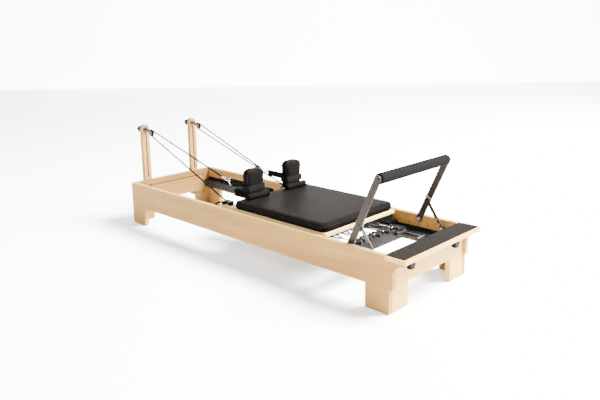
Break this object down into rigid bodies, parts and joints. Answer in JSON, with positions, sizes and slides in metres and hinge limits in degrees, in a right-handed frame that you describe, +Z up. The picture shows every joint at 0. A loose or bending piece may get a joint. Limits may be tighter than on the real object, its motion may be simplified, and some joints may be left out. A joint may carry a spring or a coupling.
{
  "type": "pilates reformer",
  "caption": "Low timber exercise frame with a padded sliding carriage on springs, shoulder rests, a headrest, a folding foot bar, a standing platform and rope pulleys on posts.",
  "frame": {"origin": "centre of the footprint on the floor, under the middle of the overall length and width", "axes": "+X from the head end (pulley posts) to the foot end (standing platform), +Y across the frame to the user's left when lying with the head at the posts, +Z up"},
  "size_m": [2.371, 0.68, 0.6769],
  "materials": {
    "maple": "clear satin lacquer over pale maple",
    "birch": "clear satin lacquer over pale birch",
    "rubber": "matte black rubber",
    "track_steel": "satin black powder coat",
    "pewter_metal": "satin pewter paint",
    "chrome": "polished",
    "bolt_steel": "dull zinc",
    "vinyl": "black upholstery vinyl with a fine grain",
    "mat_rubber": "black ribbed non-slip mat",
    "webbing": "black woven webbing",
    "rope": "dark braided cord",
    "black_plastic": "matte black moulded plastic",
    "grip_foam": "black foam grip",
    "wheel_plastic": "dark grey polyurethane"
  },
  "bodies": {
    "frame": {"side_rail_near": "maple", "side_rail_far": "maple", "head_board": "birch", "foot_board": "birch", "foot_pads": "rubber", "track_near": "track_steel", "track_far": "track_steel", "platform": "birch", "platform_mat": "mat_rubber", "post_near": "maple", "post_far": "maple", "post_bolts": "bolt_steel", "pulley_eyebolts": "chrome", "pulley_block_near": "chrome", "pulley_block_far": "chrome", "spring_bar": "track_steel", "gear_racks": "track_steel", "footbar_pins": "bolt_steel", "carriage_stops": "rubber"},
    "carriage": {"carriage_board": "birch", "carriage_pad": "vinyl", "carriage_chassis": "track_steel", "rope_cleats": "track_steel", "shoulder_pad_near": "vinyl", "shoulder_pad_far": "vinyl", "shoulder_dowels": "bolt_steel", "hand_strap_near": "webbing", "hand_strap_far": "webbing", "strap_rings": "chrome", "snap_hook_near": "chrome", "snap_hook_far": "chrome", "spring_1": "chrome", "spring_2": "chrome", "spring_3": "chrome", "spring_4": "chrome", "spring_5": "chrome", "rope_near": "rope", "rope_far": "rope"},
    "wheel_head_near": {"wheel_head_near": "wheel_plastic"},
    "wheel_head_far": {"wheel_head_far": "wheel_plastic"},
    "wheel_foot_near": {"wheel_foot_near": "wheel_plastic"},
    "wheel_foot_far": {"wheel_foot_far": "wheel_plastic"},
    "headrest": {"headrest_pad": "vinyl", "headrest_board": "birch"},
    "footbar": {"footbar_arms": "pewter_metal", "footbar_tube": "pewter_metal", "footbar_grip": "grip_foam"},
    "prop_near": {"prop_near": "pewter_metal"},
    "sheave_near": {"sheave_near": "black_plastic"},
    "post_knob_near": {"post_knob_near": "black_plastic"},
    "foot_knob_near": {"foot_knob_near": "black_plastic"},
    "snap_gate_near": {"snap_gate_near": "chrome"},
    "prop_far": {"prop_far": "pewter_metal"},
    "sheave_far": {"sheave_far": "black_plastic"},
    "post_knob_far": {"post_knob_far": "black_plastic"},
    "foot_knob_far": {"foot_knob_far": "black_plastic"},
    "snap_gate_far": {"snap_gate_far": "chrome"},
    "pull_handle": {"spring_bar_handle": "black_plastic"}
  },
  "joints": [
    {"name": "carriage_slide", "type": "slide", "parent": "frame", "child": "carriage", "axis": [1, 0, 0], "range_m": [-0.74, 0], "deforming": ["spring_1", "spring_2", "spring_3", "spring_4", "spring_5", "rope_near", "rope_far"]},
    {"name": "wheel_head_near_spin", "type": "hinge", "parent": "carriage", "child": "wheel_head_near", "pos_m": [-0.0325, -0.293, 0.2243], "axis": [0, 1, 0], "continuous": true},
    {"name": "wheel_head_far_spin", "type": "hinge", "parent": "carriage", "child": "wheel_head_far", "pos_m": [-0.0325, 0.293, 0.2243], "axis": [0, 1, 0], "continuous": true},
    {"name": "wheel_foot_near_spin", "type": "hinge", "parent": "carriage", "child": "wheel_foot_near", "pos_m": [0.6375, -0.293, 0.2243], "axis": [0, 1, 0], "continuous": true},
    {"name": "wheel_foot_far_spin", "type": "hinge", "parent": "carriage", "child": "wheel_foot_far", "pos_m": [0.6375, 0.293, 0.2243], "axis": [0, 1, 0], "continuous": true},
    {"name": "headrest_tilt", "type": "hinge", "parent": "carriage", "child": "headrest", "pos_m": [-0.0875, 0, 0.279], "axis": [0, 1, 0], "range_deg": [0, 30]},
    {"name": "footbar_fold", "type": "hinge", "parent": "frame", "child": "footbar", "pos_m": [0.8295, 0, 0.267], "axis": [0, 1, 0], "range_deg": [-75, 0]},
    {"name": "prop_near_swing", "type": "hinge", "parent": "footbar", "child": "prop_near", "pos_m": [0.88402, -0.2915, 0.38391], "axis": [0, 1, 0], "range_deg": [-60, 0]},
    {"name": "prop_far_swing", "type": "hinge", "parent": "footbar", "child": "prop_far", "pos_m": [0.88402, 0.2915, 0.38391], "axis": [0, 1, 0], "range_deg": [-60, 0]},
    {"name": "sheave_near_spin", "type": "hinge", "parent": "frame", "child": "sheave_near", "pos_m": [-1.0355, -0.201, 0.624], "axis": [0, 1, 0], "continuous": true},
    {"name": "sheave_far_spin", "type": "hinge", "parent": "frame", "child": "sheave_far", "pos_m": [-1.0355, 0.201, 0.624], "axis": [0, 1, 0], "continuous": true},
    {"name": "post_knob_near_turn", "type": "hinge", "parent": "frame", "child": "post_knob_near", "pos_m": [-1.1575, -0.201, 0.64], "axis": [1, 0, 0], "continuous": true},
    {"name": "post_knob_far_turn", "type": "hinge", "parent": "frame", "child": "post_knob_far", "pos_m": [-1.1575, 0.201, 0.64], "axis": [1, 0, 0], "continuous": true},
    {"name": "foot_knob_near_turn", "type": "hinge", "parent": "frame", "child": "foot_knob_near", "pos_m": [1.1125, -0.2, 0.215], "axis": [1, 0, 0], "continuous": true},
    {"name": "foot_knob_far_turn", "type": "hinge", "parent": "frame", "child": "foot_knob_far", "pos_m": [1.1125, 0.2, 0.215], "axis": [1, 0, 0], "continuous": true},
    {"name": "pull_handle_lift", "type": "hinge", "parent": "frame", "child": "pull_handle", "pos_m": [0.7765, 0.205, 0.2], "axis": [0, -1, 0], "range_deg": [0, 60]},
    {"name": "snap_gate_near_press", "type": "hinge", "parent": "carriage", "child": "snap_gate_near", "pos_m": [-0.30006, -0.15202, 0.40665], "axis": [-0.3061, -0.017, -0.9519], "range_deg": [0, 20]},
    {"name": "snap_gate_far_press", "type": "hinge", "parent": "carriage", "child": "snap_gate_far", "pos_m": [-0.30006, 0.15202, 0.40665], "axis": [0.3061, -0.017, 0.9519], "range_deg": [0, 20]}
  ],
  "couplings": [
    {"joint": "wheel_head_near_spin", "follows": "carriage_slide", "rad_per_m": 41.152},
    {"joint": "wheel_head_far_spin", "follows": "carriage_slide", "rad_per_m": 41.152},
    {"joint": "wheel_foot_near_spin", "follows": "carriage_slide", "rad_per_m": 41.152},
    {"joint": "wheel_foot_far_spin", "follows": "carriage_slide", "rad_per_m": 41.152}
  ]
}
